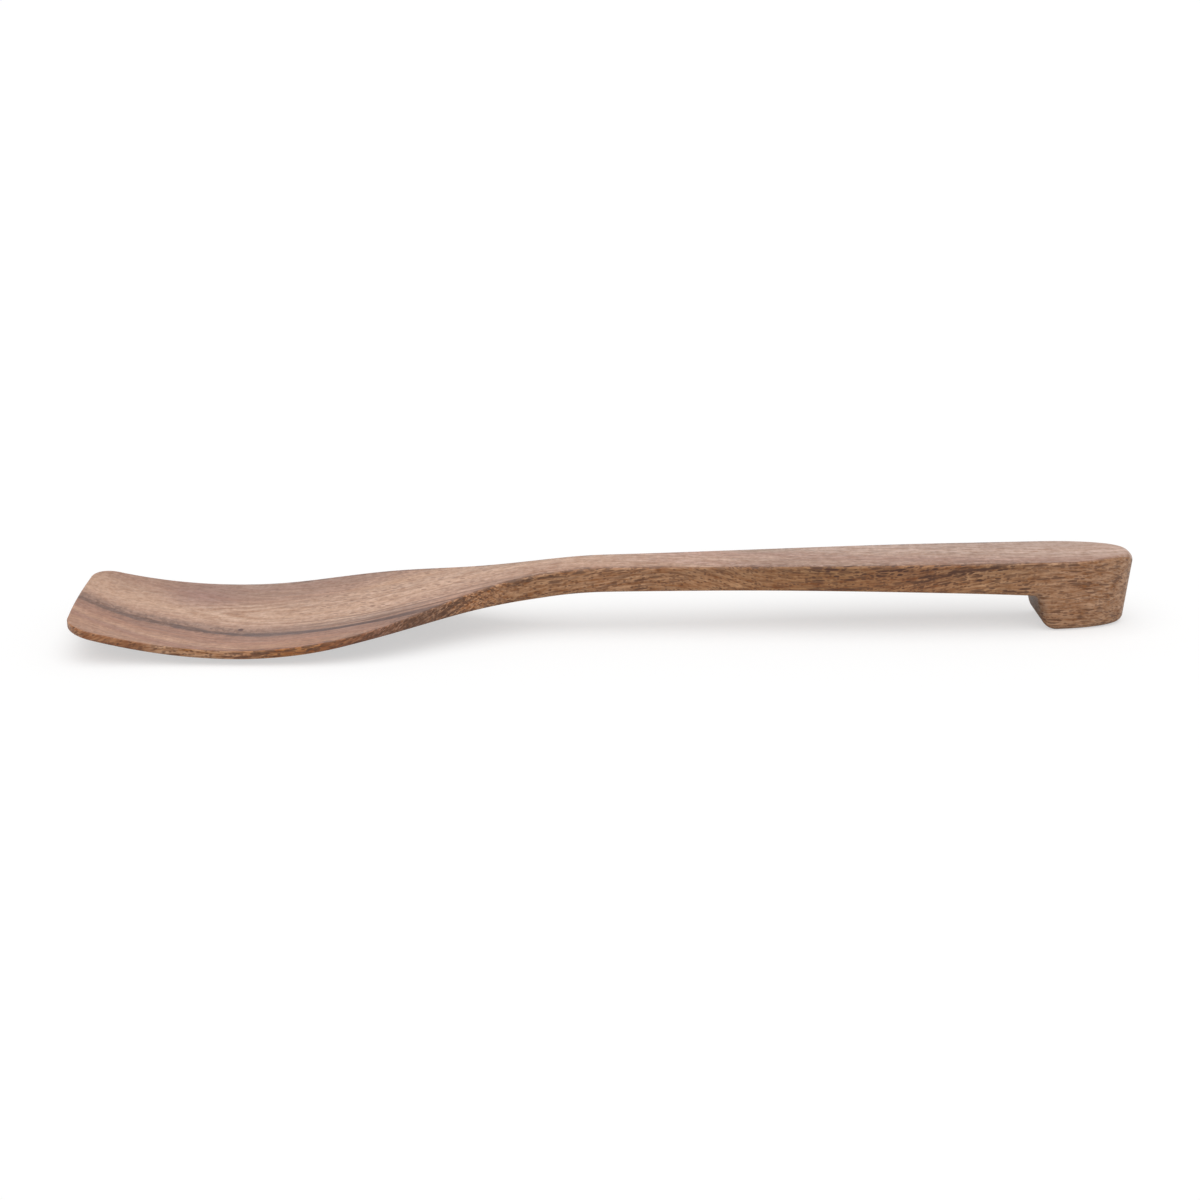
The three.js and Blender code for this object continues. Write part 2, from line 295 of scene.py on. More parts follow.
def spine_places(outline):
    """Where each line starts and ends on the middle plane: straight across along the sides, and fanned out
    from a short stretch of the middle at the tip and at the end."""
    upper = outline.x.copy()
    under = outline.x.copy()
    fan = np.flatnonzero(outline.part == TIP)
    side_start = fan[-1] + 1
    upper[fan] = under[fan] = between(SPINE_INSET, outline.x[side_start], fan / side_start)
    foot_end = np.flatnonzero(outline.part == FOOT)[-1]
    share = np.arange(1, END_STEPS + 1) / END_STEPS
    draw_in = np.tan(END_DRAFT) * GRIP_HEIGHT + FOOT_UNDER_EDGE
    upper[foot_end + 1 :] = between(outline.x[foot_end], LENGTH - SPINE_INSET, share)
    under[foot_end + 1 :] = between(outline.x[foot_end], LENGTH - draw_in - SPINE_INSET, share)
    return upper, under


def half_shell():
    """Points of half the surface, one row for each place of the outline. A row goes from the middle of the
    upper face out over the edge, down the side, round the lower edge and back to the middle of the
    underside. Also gives how much the wood there is a sawn side: 0 on the upper face and 1 past its edge,
    round the end past the whole rounding, and under the blade back to 0."""
    outline = half_outline()
    column = SimpleNamespace(**{name: value[:, None] for name, value in vars(outline).items()})
    share = shaft_share(column.x)
    facing = np.where(column.x > END_AT, column.in_x**2, 0)
    top_radius = between(between(BLADE_TOP_EDGE, SHAFT_TOP_EDGE, share), END_TOP_EDGE, facing)
    side_radius = between(BLADE_UNDER_EDGE, SHAFT_UNDER_EDGE, share)
    foot_x = outline.x[outline.part == FOOT]
    under_radius = between(side_radius, FOOT_UNDER_EDGE, smooth_share(column.x, foot_x[0], foot_x[-1]))
    draft = np.tan(between(SIDE_DRAFT * share, END_DRAFT, facing))
    spine_upper, spine_under = (line[:, None] for line in spine_places(outline))

    # The upper face
    way_out = (np.arange(SHEET_STEPS) / SHEET_STEPS)[None]
    sheet_x = between(spine_upper, column.x + column.in_x * top_radius, way_out)
    sheet_y = (column.y + column.in_y * top_radius) * way_out
    sheet = np.stack([sheet_x, sheet_y, upper_face(sheet_x, sheet_y)], -1)

    # The rounded upper edge
    angle = np.linspace(np.pi / 2, 0, EDGE_STEPS + 1)[None]
    inset = top_radius * (1 - np.cos(angle))
    edge_x = column.x + column.in_x * inset
    edge_y = column.y + column.in_y * inset
    edge_z = upper_face(edge_x, edge_y) - top_radius * (1 - np.sin(angle))
    edge = np.stack([edge_x, edge_y, edge_z], -1)

    # The rounded lower edge
    angle = np.linspace(0, np.pi / 2, EDGE_STEPS + 1)[None]
    inset = under_radius * (1 - np.cos(angle))
    depth = under_radius * (1 - np.sin(angle))
    wall_x = column.x + np.sin(column.tilt) * depth
    rim_z = column.under_z + np.cos(column.tilt) * depth
    wall_y = np.where(column.part == FOOT, outline_half_width(wall_x), column.y)
    inward = inset + draft * (upper_edge(column.x) - rim_z)
    rim_x = wall_x + column.in_x * inward
    rim_y = wall_y + column.in_y * inward
    rim = np.stack([rim_x, rim_y, rim_z - belly_drop(rim_x, rim_y)], -1)

    # The side between the two
    way_down = (np.arange(1, WALL_STEPS) / WALL_STEPS)[None, :, None]
    wall = between(edge[:, -1:], rim[:, :1], way_down)

    # The underside
    way_in = (np.arange(1, SHEET_STEPS + 1) / SHEET_STEPS)[None]
    straight_across = (column.part == SIDE) | (column.part == FOOT)
    last_x, last_y = rim_x[:, -1:], rim_y[:, -1:]
    back_x = between(last_x, np.where(straight_across, last_x, spine_under), way_in)
    back_y = last_y * (1 - way_in)
    level = np.where(column.part >= FOOT, column.under_z, under_edge(back_x))
    back = np.stack([back_x, back_y, level - belly_drop(back_x, back_y)], -1)
    points = np.concatenate([sheet, edge, wall, rim, back], 1)
    points[:, [0, -1], 1] = 0
    points[[0, -1], :, 1] = 0

    # How much the wood there is a sawn side
    column_number = np.arange(points.shape[1])[None]
    edge_start = SHEET_STEPS + EDGE_STEPS * between(*SAWN_FROM, facing)
    edge_end = edge_start + EDGE_STEPS * between(*SAWN_OVER, facing)
    past_edge = smooth_share(column_number, edge_start, edge_end)
    back_start = points.shape[1] - SHEET_STEPS
    on_belly = smooth_share(column_number, back_start, back_start + BELLY_STEPS)
    return points, past_edge * (1 - on_belly * (1 - share))


def carved_mesh(name):
    """The half shell and its mirror image, joined along the middle plane, where they share their points.
    Each square is cut so that no triangle lies flat along the middle plane."""
    near, sawn = half_shell()
    rows, count = near.shape[:2]
    number = np.arange(rows * count).reshape(rows, count)
    on_middle = np.zeros((rows, count), bool)
    on_middle[[0, -1]] = True
    on_middle[:, [0, -1]] = True
    far_number = number.copy()
    far_number[~on_middle] = rows * count + np.arange((~on_middle).sum())
    vertices = np.concatenate([near.reshape(-1, 3), near[~on_middle] * [1, -1, 1]])
    vertices[:, 0] += low.x

    row, column = np.meshgrid(np.arange(rows - 1), np.arange(count - 1), indexing="ij")
    leans_forward = ((row < rows / 2) == (column < count / 2)).ravel()

    def triangles(grid):
        a, b, c, d = (g.ravel() for g in (grid[:-1, :-1], grid[:-1, 1:], grid[1:, 1:], grid[1:, :-1]))
        a, b, c, d = (np.where(leans_forward, p, q) for p, q in ((a, b), (b, c), (c, d), (d, a)))
        return np.concatenate([np.stack([a, b, c], 1), np.stack([a, c, d], 1)])

    faces = np.concatenate([triangles(number)[:, ::-1], triangles(far_number)])
    mesh = bpy.data.meshes.new(name)
    mesh.from_pydata(vertices, [], faces)
    mesh.shade_smooth()
    attribute = mesh.attributes.new("sawn", "FLOAT", "POINT")
    attribute.data.foreach_set("value", np.concatenate([sawn.ravel(), sawn[~on_middle]]).astype(np.float32))
    return mesh


# How the grain lies in the wood
LAYER_LEAN = 1.3  # how far a growth layer moves across, to the far side, for each metre that it rises
STREAK_SHIFT = 0.0139  # brings the dark streak to 0 on the scale across the layers
GRAIN_CLIMB = [  # place along the spatula, and how far the growth layers have climbed there
    (0.0, 0.0008), (0.012, 0.0017), (0.027, 0.0021), (0.052, 0.0056), (0.068, 0.0075),
    (0.082, 0.0108), (0.095, 0.0148), (0.109, 0.0181), (0.160, 0.0262), (0.290, 0.0445),
    (0.330, 0.0455),
]
SIDE_CLIMB = [  # the same for the fibres that show on the sawn sides, where the grain is interlocked
    (0.0, 0.0), (0.022, 0.009), (0.030, 0.010), (0.052, 0.0095), (0.075, 0.011), (0.087, 0.014),
    (0.113, 0.026), (0.120, 0.027), (0.134, 0.022), (0.142, 0.022), (0.172, 0.026), (0.184, 0.027),
    (0.194, 0.025), (0.214, 0.019), (0.226, 0.018), (0.252, 0.0185), (0.276, 0.0225),
    (0.290, 0.0235), (0.316, 0.0235), (0.330, 0.019),
]
TOP_CLIMB = 0.06  # no number in the two lists is larger

# Numbers that change along the spatula, each written with its place
FAR_SPREAD = [(0.0, 1.22), (0.040, 1.12), (0.070, 1.0), (0.110, 0.8), (0.330, 0.8)]
NEAR_SPREAD = [(0.0, 1.38), (0.013, 1.29), (0.037, 1.0), (0.065, 1.15), (0.330, 1.15)]
TOP_LIGHTNESS = [
    (0.0, 1.03), (0.140, 1.05), (0.165, 1.05), (0.192, 1.12), (0.215, 0.94), (0.250, 0.93),
    (0.280, 0.90), (0.330, 0.96),
]
STREAK_SHARPNESS = [(0.0, 1.1), (0.030, 1.2), (0.060, 1.35), (0.090, 1.35), (0.110, 1.1), (0.330, 1.0)]
STREAK_DEPTH = [
    (0.0, 0.42), (0.020, 0.70), (0.055, 0.94), (0.063, 0.84), (0.075, 1.0), (0.100, 1.0),
    (0.112, 0.6), (0.330, 0.6),
]
TOP_NUMBER = 1.5  # no number in these lists is larger
MEASURED_PLACES = 34  # places along the spatula at which the wood knows its outline

# Stretches along the spatula: where a mark starts, where it is full, where it begins to fade and its end
SHOULDER_STRETCH = (0.055, 0.080, 0.120, 0.150)
CUT_STRETCH = (0.080, 0.096, 0.118, 0.145)  # where the saw cut steeply through the grain
SHAFT_STRETCH = (0.170, 0.200, 0.280, 0.310)
VEIN_STRETCH = (0.246, 0.262, 0.285, 0.300)
THREAD_STRETCH = (0.240, 0.252, 0.280, 0.298)

# Changes along the spatula: two places, and the number at each, which is 0 and 1 where none is given
BLADE_TO_SHAFT = (0.150, 0.190)
LINE_DEPTH = (0.100, 0.160, 0.12, 0.26)
THREAD_DEPTH = (0.020, 0.045, 0.08, 0.20)
FIGURE_DEPTH = (0.055, 0.095, 0.05, 0.19)
UNREST = (0.045, 0.075, 1.0, 0.35)  # how far the streak wavers and breaks up
SMOKE_DEPTH = (0.060, 0.085, 0.45, 0.30)
SPECKLE_DEPTH = (0.085, 0.045, 0.20, 0.80)
NOTCH_START = (0.030, 0.060)
NOTCH_DEPTH = (0.150, 0.180, 0.85, 0.30)
GRIP_PORES = (0.215, 0.240, 0.78, 1.40)
FOOT_PORES = (0.305, 0.290, 0.50, 1.0)
FINE_PORE_DEPTH = (0.285, 0.305, 0.7, 0.45)
PORES_BY_EDGE = (0.040, 0.080, 0.0, 0.6)

# Changes with the height on the side of the shaft, written in the same way
SHAFT_SIDE_LIGHTNESS = (0.0155, 0.0215, 0.11, -0.09)
SHAFT_SIDE_PORES = (0.0155, 0.0205, -0.45, 0.25)

# How near to the side and to the upper edge the marks there begin, and are full
BY_SIDE = (0.0026, 0.0006)
BY_UPPER_EDGE = (0.0028, 0.0014)

# Bands across the layers, with the dark streak at 0, written like the stretches. An edge holds the
# places where a band begins and where it is full
CORE_BAND = (-0.0013, -0.0003, 0.0021, 0.0037)
SMOKE_NEAR_EDGE = (-0.0026, -0.0002)
SMOKE_FAR_EDGE = (0.0075, 0.0005)
SPECKLE_NEAR_EDGE = (-0.0040, 0.0005)
SPECKLE_FAR_EDGE = (0.0110, 0.0020)
STRIPE_BAND = (0.000, 0.003, 0.007, 0.016)
FLECK_EDGE = (0.004, 0.016)
NEAR_STREAK_EDGE = (0.0, -0.004)  # the near side of the streak, where growth lines show more

# Sizes of the marks: along, across and up
RAG_SIZE = (0.0026, 0.0020, 0.0006)  # of the ragged line between sanded and sawn wood
SWAY_SIZE = (0.040, 0.010, 0.010)
BAND_SIZE = (0.090, 0.0045, 0.020)
LINE_SIZE = (0.045, 0.0017, 0.010)
THREAD_SIZE = (0.012, 0.0009, 0.005)
HAIR_SIZE = (0.0060, 0.0014, 0.0007)
FIGURE_SIZE = (0.0036, 0.0028, 0.0020)
GRIT_SIZE = (0.0014, 0.0018, 0.0012)
HATCH_SIZE = (0.0011, 0.0010, 0.0005)
CLOUD_SIZE = (0.0060, 0.0025, 0.0025)
BLOTCH_SIZE = (0.0028, 0.0022, 0.0022)
SPECKLE_SIZE = (0.0016, 0.0024, 0.0024)
STROKE_SIZE = (0.0012, 0.0010, 0.0006)
NOTCH_SIZE = (0.0045, 0.0010, 0.0008)
FLECK_SIZE = (0.0030, 0.0011, 0.0025)
CROWD_SIZE = (0.020, 0.004, 0.004)
LONG_PORE_SIZE = (0.0050, 0.0014, 0.00075)
SHORT_PORE_SIZE = (0.0022, 0.0011, 0.00065)
FINE_PORE_SIZE = (0.0012, 0.0008, 0.00055)

# How much of its cell a mark fills
STROKE_FULLNESS = 0.62
FLECK_FULLNESS = 0.48
LONG_PORE_FULLNESS = 0.60
PORE_FULLNESS = 0.52
MARK_EDGE = 0.60  # share of a mark's radius inside which it is at its darkest
MARK_STRENGTHS = (0.25, 0.80)  # marks weaker than the first are gone, stronger than the second are full

# Thresholds in noise: where a mark begins and where it is full, and how strong it is at either
SAWN_EDGE = (0.35, 0.65)
STREAK_BREAKS = (0.30, 0.55)
SMOKE_MOTTLE = (0.30, 0.60, 0.5, 1.0)
SPECKLE_NOISE = (0.45, 0.55)
STRIPE_WAVES = (0.3, 1.0)
NOTCH_NOISE = (0.51, 0.58)
CROWD_NOISE = (0.35, 0.60, 0.35, 1.0)
VEIN_MOTTLE = (0.30, 0.60, 0.35, 0.95)

# How far the noise pushes lines and edges out of their way, from end to end
RAG_PUSH = 1.1
SWAY_PUSH = 0.003
STREAK_PUSH = 0.004
SMOKE_PUSH = 0.006
VEIN_PUSH = 0.005
THREAD_PUSH = 0.002

# The arches that the growth layers draw in the scoop of the blade, and the stripes beside the streak
ARCH_END = (0.110, 0.004)  # the middle of the arches, from the tip edge and across
ARCH_STRETCH = 6.0  # how much longer than wide they are
ARCH_PITCH = 0.0024
ARCH_WAVER = 8.0  # radians by which noise pushes the waves out of step
SCOOP_PLACE = (0.0520, 0.0070, 0.0060)
SCOOP_SIZE = (0.0340, 0.0190, 0.0300)
STRIPE_PITCH = 0.0032
STRIPE_WAVER = 9.0  # the same for the stripes

# How deep each part of the grain goes, as a share of the wood's lightness
BAND_DEPTH = 0.06
NEAR_LINE_DEPTH = 0.12  # added on the near side of the streak
NEAR_THREAD_DEPTH = 0.08
ARCH_DEPTH = 0.24
HAIR_DEPTH = 0.12
GRIT_DEPTH = 0.15
HATCH_DEPTH = 0.50
SAWN_LINE_DEPTH = 0.20
SAWN_THREAD_DEPTH = 0.16
SAWN_HAIR_DEPTH = 0.42
SAWN_FIGURE_DEPTH = 0.10
SCOOP_HAIR_LOSS = 0.05
CUT_HAIR_LOSS = 0.26
MIDDLE_OF_NOISE = (0.25, 0.75)  # nearly all noise lies between these
GRAIN_TINT = (0.70, 1.0, 1.30)  # how strongly the grain changes red, green and blue
SAWN_TINT = (0.66, 1.0, 1.50)  # the same on the sawn sides

# How strong the other marks are
STREAK_GAPS = 0.45  # how much of the streak is lost where it breaks up
SAWN_STREAK_LOSS = 0.75
STRIPE_DEPTH = 0.9
STROKE_DEPTH = 0.60
SHADE_BETWEEN_STROKES = 0.45
CUT_STROKE_DEPTH = 0.80
SHADE_DEPTH = 0.85
FLECK_DEPTH = 0.70
SANDED_PORE_DEPTH = 0.26  # pores are open and dark on the sawn sides, and mostly closed on the sanded faces
THREAD_VEIN_DEPTH = 0.25

# Slanting marks lie at about 40 degrees, given by the cosine and the sine of the slant
SLANT_COSINE = 0.77
SLANT_SINE = 0.64

VEIN_START = (0.2570, 0.0168)  # of the dark vein on the side of the grip, from the tip and in height
VEIN_SLOPE = 0.20
VEIN_EDGE = (0.0009, 0.0002)
THREAD_START = (0.2450, -0.0106)  # of the finer one on the upper face, from the tip and across
THREAD_SLOPE = 0.04
THREAD_EDGE = (0.0007, 0.0001)
KNOT_PLACE = (0.0513, -0.0103)
KNOT_SIZE = (0.0008, 0.0013)
KNOT_EDGE = (1.3, 0.7)  # in shares of the size
SHADES = [  # place and size of the dark wood round the streak, where it leaves the shoulder
    ((0.0960, -0.0265, 0.0055), (0.0270, 0.0110, 0.0058)),
    ((0.1040, -0.0235, 0.0110), (0.0200, 0.0060, 0.0085)),
]
CLOUDS_AND_SHADE = [  # place and size of clouds in the wood and of painted shade, and how they change red, green and blue
    # reddish, on the far half of the blade
    ((0.0360, 0.0190, 0.0080), (0.0190, 0.0150, 0.0300), (0.80, 0.74, 0.83)),
    # yellow, along the near rim
    ((0.0700, -0.0320, 0.0060), (0.0380, 0.0110, 0.0200), (0.91, 0.80, 0.68)),
    # light, beside the streak
    ((0.0840, -0.0110, 0.0080), (0.0260, 0.0085, 0.0200), (1.18, 1.26, 1.27)),
    # light, on the far and the near shoulder
    ((0.0990, 0.0170, 0.0100), (0.0260, 0.0120, 0.0200), (1.12, 1.12, 1.07)),
    ((0.1220, -0.0145, 0.0150), (0.0270, 0.0080, 0.0100), (1.30, 1.23, 1.14)),
    # dark, along the far edge of the neck and of the shaft
    ((0.1380, 0.0090, 0.0180), (0.0280, 0.0070, 0.0100), (0.81, 0.80, 0.75)),
    ((0.2130, 0.0075, 0.0220), (0.0190, 0.0065, 0.0080), (0.75, 0.76, 0.72)),
    # light, along the middle of the grip and its near edge
    ((0.2450, -0.0005, 0.0220), (0.1000, 0.0050, 0.0080), (1.11, 1.14, 1.15)),
    ((0.2650, -0.0115, 0.0245), (0.0290, 0.0050, 0.0042), (1.30, 1.22, 1.08)),
    # dark, low on the foot, and painted shade in the corner above its inner face, where the grip's underside
    # turns down
    ((0.3130, 0.0000, 0.0010), (0.0240, 0.0300, 0.0110), (0.93, 0.94, 0.93)),
    # painted shade: darker and greyer wood in the corner above the foot's inner face
    ((0.2988, 0.0000, 0.0060), (0.0050, 0.0300, 0.0120), (0.46, 0.56, 0.74)),
]

# Colours of the wood, each with its place on the scale across the layers
BLADE_LAYERS = [
    (-0.0230, "a3765b"), (-0.0195, "94654f"), (-0.0170, "9b6e57"), (-0.0145, "ab8065"),
    (-0.0090, "9a6b52"), (-0.0030, "91654f"), (0.0060, "977360"), (0.0100, "af876f"),
    (0.0165, "ba9379"), (0.0200, "b99278"), (0.0305, "ab856d"), (0.0360, "9f7761"),
    (0.0425, "936f5b"), (0.0455, "936f5e"), (0.0490, "9a7a69"),
]
SHAFT_LAYERS = [
    (0.0120, "9e745f"), (0.0185, "aa856e"), (0.0220, "a98472"), (0.0260, "a6826d"),
    (0.0335, "a77f6c"), (0.0370, "b08c78"), (0.0400, "ba9885"), (0.0430, "ba9784"),
    (0.0530, "aa8976"),
]
# Colours of the sawn sides, each with its place along the spatula
SIDE_COLOURS = [
    (0.000, "a46f49"), (0.012, "9f6840"), (0.022, "925d37"), (0.032, "b68864"), (0.042, "bb8d68"),
    (0.055, "b4835f"), (0.067, "be8751"), (0.082, "9d643a"), (0.095, "97664b"), (0.108, "a17456"),
    (0.122, "ab7c58"), (0.140, "a67751"), (0.165, "ab7b55"), (0.235, "95663c"), (0.260, "986740"),
    (0.285, "9f724c"), (0.310, "a97b58"), (0.330, "a97e5c"),
]
STREAK_COLOUR = "431e10"
SMOKE_COLOUR = "664128"
SHADE_COLOUR = "54341f"
PORE_COLOUR = "4c260c"
FLECK_COLOUR = "80553b"
KNOT_COLOUR = "46190a"

# The oiled surface
OIL_ROUGHNESS = (0.3, 0.7, 0.38, 0.50)  # thresholds in the growth lines, and the roughness at each
OIL_IOR = 1.5
HAIR_RELIEF = 0.00003
PORE_RELIEF = 0.00006


def colour(code):
    """A colour written as six hexadecimal digits, made linear by the usual curve of screens."""
    value = np.array([int(code[i : i + 2], 16) for i in (0, 2, 4)]) / 255
    linear = np.where(value <= 0.04045, value / 12.92, ((value + 0.055) / 1.055) ** 2.4)
    return (*linear, 1.0)


class Finish:
    """A material made by joining shader nodes. Each call adds the nodes it needs, and gives back the output
    of the last one. The functions below call it f, and at holds the places and noises that they share."""

    def __init__(self, name):
        self.material = bpy.data.materials.new(name)
        self.material.use_nodes = True
        self.nodes = self.material.node_tree.nodes
        self.links = self.material.node_tree.links
        self.shader = self.nodes["Principled BSDF"]

    def join(self, value, socket):
        if isinstance(value, bpy.types.NodeSocket):
            self.links.new(value, socket)
        else:
            socket.default_value = value

    def add(self, kind, *values, output=0, **settings):
        node = self.nodes.new(kind)
        for name, value in settings.items():
            setattr(node, name, value)
        for value, socket in zip(values, node.inputs):
            if value is not None:
                self.join(value, socket)
        return node.outputs[output]

    def math(self, operation, *values, clamp=False):
        return self.add("ShaderNodeMath", *values, operation=operation, use_clamp=clamp)

    def vector_math(self, operation, *values, output="Vector"):
        return self.add("ShaderNodeVectorMath", *values, operation=operation, output=output)

    def plus(self, a, b):
        return self.math("ADD", a, b)

    def minus(self, a, b):
        return self.math("SUBTRACT", a, b)

    def times(self, number, *others):
        for other in others:
            number = self.math("MULTIPLY", number, other)
        return number

    def times_plus(self, a, b, c):
        return self.math("MULTIPLY_ADD", a, b, c)

    def largest(self, number, *others):
        for other in others:
            number = self.math("MAXIMUM", number, other)
        return number

    def value_mix(self, share, a, b):
        return self.add("ShaderNodeMix", share, None, a, b)

    def vector(self, x, y, z):
        return self.add("ShaderNodeCombineXYZ", x, y, z)

    def ramp(self, value, start, end, low_value=0.0, high_value=1.0):
        """Smooth share of value between start and end, spread from low_value to high_value."""
        node = self.nodes.new("ShaderNodeMapRange")
        node.interpolation_type = "SMOOTHSTEP"
        for number, socket in zip((value, start, end, low_value, high_value), node.inputs):
            self.join(number, socket)
        return node.outputs[0]

    def stretch(self, value, start, full, fading, end):
        """1 between full and fading, and falling smoothly to 0 at start and end."""
        return self.times(self.ramp(value, start, full), self.ramp(value, end, fading))

    def push(self, noise, width):
        """Noise from 0 to 1 made into a push to either side, width from end to end."""
        return self.times_plus(noise, width, -width / 2)

    def in_cells(self, place, sizes):
        """The place counted in cells that are as long, wide and high as sizes say, in metres."""
        return self.vector_math("MULTIPLY", place, tuple(1 / size for size in sizes))

    def spots(self, place, sizes, detail=2.0, roughness=0.5):
        """Noise from 0 to 1 with spots of the given sizes."""
        node = self.nodes.new("ShaderNodeTexNoise")
        self.join(self.in_cells(place, sizes), node.inputs["Vector"])
        node.inputs["Scale"].default_value = 1.0
        node.inputs["Detail"].default_value = detail
        node.inputs["Roughness"].default_value = roughness
        return node.outputs[0]

    def dashes(self, place, sizes, fullness):
        """Marks from 0 to 1, one in each cell of the given sizes. Fullness is the share of the cell's radius
        that a mark fills, and each mark has its own strength."""
        node = self.nodes.new("ShaderNodeTexVoronoi")
        self.join(self.in_cells(place, sizes), node.inputs["Vector"])
        node.inputs["Scale"].default_value = 1.0
        node.inputs["Randomness"].default_value = 1.0
        mark = self.ramp(node.outputs["Distance"], fullness, fullness * MARK_EDGE)
        strength = self.add("ShaderNodeSeparateColor", node.outputs["Color"])
        return self.times(mark, self.ramp(strength, *MARK_STRENGTHS))

    def mix(self, share, a, b, blend_type="MIX"):
        node = self.nodes.new("ShaderNodeMix")
        node.data_type = "RGBA"
        node.blend_type = blend_type
        self.join(share, node.inputs["Factor"])
        self.join(a, node.inputs["A"])
        self.join(b, node.inputs["B"])
        return node.outputs["Result"]

    def tinted(self, paint, tint):
        return self.mix(1.0, paint, tint, "MULTIPLY")

    def curve(self, value, points):
        """A smooth curve through points, all from 0 to 1."""
        node = self.nodes.new("ShaderNodeFloatCurve")
        self.join(value, node.inputs["Value"])
        line = node.mapping.curves[0]
        line.points[0].location = points[0]
        line.points[1].location = points[-1]
        for point in points[1:-1]:
            line.points.new(*point)
        node.mapping.update()
        return node.outputs[0]

    def colours(self, value, stops):
        """The colours of stops, mixed in turn as value goes from 0 to 1."""
        node = self.nodes.new("ShaderNodeValToRGB")
        self.join(value, node.inputs[0])
        ramp = node.color_ramp
        ramp.elements[0].position, ramp.elements[0].color = stops[0]
        ramp.elements[1].position, ramp.elements[1].color = stops[-1]
        for position, paint in stops[1:-1]:
            ramp.elements.new(position).color = paint
        return node.outputs[0]


def colours_along(f, value, stops):
    """Colour by a place on a scale, from stops that are written with their place on it."""
    first, last = stops[0][0], stops[-1][0]
    shares = [((at - first) / (last - first), colour(code)) for at, code in stops]
    return f.colours(f.add("ShaderNodeMapRange", value, first, last), shares)


def number_along(f, share, points, top):
    """A number that changes along the spatula, from points written as place and number, none above top."""
    return f.times(f.curve(share, [(x / LENGTH, number / top) for x, number in points]), top)


def patch(f, place, centre, sizes):
    """1 in the middle of an egg-shaped patch in the wood, falling smoothly to 0 at its ends."""
    scaled = f.in_cells(f.vector_math("SUBTRACT", place, centre), sizes)
    return f.ramp(f.vector_math("LENGTH", scaled, output="Value"), 1.0, 0.0)


def turned(f, forward, sideways, sine):
    """Two coordinates turned by the slant of the marks. The sign of the sine says to which side."""
    return (
        f.times_plus(sideways, sine, f.times(forward, SLANT_COSINE)),
        f.times_plus(forward, -sine, f.times(sideways, SLANT_COSINE)),
    )


def wood_places(f):
    """The places and scales that the marks in the wood read. Through is the place across the leaning and
    climbing growth layers, with 0 at the dark streak. Layers holds places counted along those layers, fibres
    places counted along the fibres, and rising and slanting the same two turned by the slant. From_side is
    the distance inside the outline, below_edge the depth below the upper edge, and sawn is 1 on the sawn
    sides, with a ragged edge."""
    at = SimpleNamespace()
    split = f.nodes.new("ShaderNodeSeparateXYZ")
    f.join(f.add("ShaderNodeTexCoord", output="Object"), split.inputs[0])
    along, at.across, at.height = split.outputs
    at.from_tip = f.minus(along, low.x)
    at.share = f.math("DIVIDE", at.from_tip, LENGTH)
    at.in_wood = f.vector(at.from_tip, at.across, at.height)
    sawn = f.add("ShaderNodeAttribute", output="Fac", attribute_name="sawn")
    rag = f.spots(at.in_wood, RAG_SIZE)
    at.sawn = f.ramp(f.plus(sawn, f.push(rag, RAG_PUSH)), *SAWN_EDGE)

    measured = np.linspace(0, LENGTH, MEASURED_PLACES)
    side = number_along(f, at.share, [(x, float(half_width(x))) for x in measured], BLADE_WIDTH)
    edge = number_along(f, at.share, [(x, float(upper_edge(x))) for x in measured], high.z)
    at.from_side = f.minus(side, f.math("ABSOLUTE", at.across))
    at.below_edge = f.minus(edge, at.height)

    climb = number_along(f, at.share, GRAIN_CLIMB, TOP_CLIMB)
    side_climb = number_along(f, at.share, SIDE_CLIMB, TOP_CLIMB)
    layer_height = f.minus(at.height, climb)
    fibre_height = f.minus(at.height, f.value_mix(at.sawn, climb, side_climb))
    at.fibres = f.vector(along, at.across, fibre_height)
    at.sway = f.push(f.spots(at.fibres, SWAY_SIZE), SWAY_PUSH)
    at.through = f.plus(f.times_plus(layer_height, -LAYER_LEAN, at.across), STREAK_SHIFT)
    at.through = f.plus(at.through, at.sway)
    at.layers = f.vector(along, at.through, f.times_plus(at.across, LAYER_LEAN, layer_height))
    rising_along, rising_up = turned(f, along, at.height, SLANT_SINE)
    at.rising = f.vector(rising_along, at.across, rising_up)
    at.slanting = f.vector(*turned(f, along, at.across, -SLANT_SINE), at.height)
    return at


def shared_marks(f, at):
    """Stretches of the spatula, and noise, that more than one kind of mark reads."""
    at.on_shoulder = f.stretch(at.from_tip, *SHOULDER_STRETCH)
    at.on_shaft = f.stretch(at.from_tip, *SHAFT_STRETCH)
    at.on_cut = f.times(f.stretch(at.from_tip, *CUT_STRETCH), at.sawn)
    at.by_side = f.ramp(at.from_side, *BY_SIDE)
    at.lines = f.spots(at.layers, LINE_SIZE, detail=3, roughness=0.6)
    at.hairs = f.spots(at.fibres, HAIR_SIZE, roughness=0.6)
    at.cloud = f.spots(at.fibres, CLOUD_SIZE, detail=3, roughness=0.6)


def broad_colours(f, at):
    """The colours of the growth layers, of the sawn sides and of the clouds in the wood, and painted shade
    in the corner above the foot's inner face.
    """
    far_part = f.times(f.largest(at.through, 0.0), number_along(f, at.share, FAR_SPREAD, TOP_NUMBER))
    near_part = f.math("MINIMUM", at.through, 0.0)
    near_part = f.times(near_part, number_along(f, at.share, NEAR_SPREAD, TOP_NUMBER))
    blade = colours_along(f, f.plus(far_part, near_part), BLADE_LAYERS)
    shaft = colours_along(f, at.through, SHAFT_LAYERS)
    wood = f.mix(f.ramp(at.from_tip, *BLADE_TO_SHAFT), blade, shaft)
    wood = f.mix(at.sawn, wood, colours_along(f, at.from_tip, SIDE_COLOURS))
    # the last patch is painted shade in the corner above the foot's inner face, the others are clouds in the
    # wood
    for place, size, tint in CLOUDS_AND_SHADE:
        wood = f.mix(patch(f, at.in_wood, place, size), wood, f.tinted(wood, (*tint, 1.0)))
    return wood


